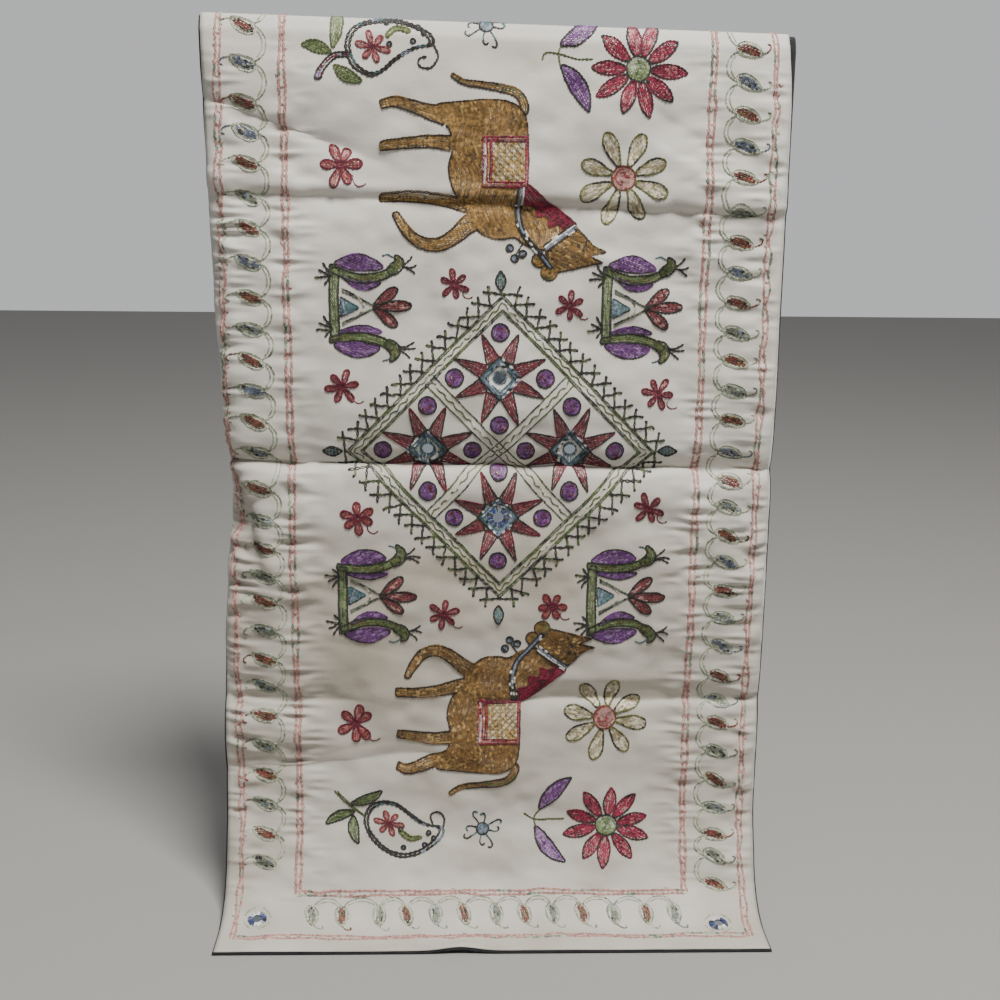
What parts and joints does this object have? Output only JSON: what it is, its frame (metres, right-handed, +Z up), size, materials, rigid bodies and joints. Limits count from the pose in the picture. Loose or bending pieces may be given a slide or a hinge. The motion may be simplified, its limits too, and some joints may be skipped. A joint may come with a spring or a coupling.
{
  "type": "table runner",
  "caption": "Mirror work table runner in ivory cotton with embroidered borders, figures and flowers and a black lining, hung over a straight edge with its foot lying forward on the surface.",
  "frame": {"origin": "middle of the underside of the fold, where the lining rests on the edge that the runner hangs over", "axes": "+Z up along the hanging cloth, -Y the way the embroidered face looks, X across the runner"},
  "size_m": [0.4026, 0.1114, 0.6486],
  "materials": {
    "ivory_cotton": "fine plain weave with a soft satin sheen",
    "black_cotton": "matt plain weave",
    "mirror_glass": "polished"
  },
  "bodies": {
    "root": {"face_panel": "ivory_cotton", "lining": "black_cotton", "star_mirror_upper": "mirror_glass", "star_mirror_lower": "mirror_glass", "star_mirror_left": "mirror_glass", "star_mirror_right": "mirror_glass", "corner_mirror_front_left": "mirror_glass", "corner_mirror_front_right": "mirror_glass", "corner_mirror_rear_left": "mirror_glass", "corner_mirror_rear_right": "mirror_glass"}
  },
  "joints": []
}
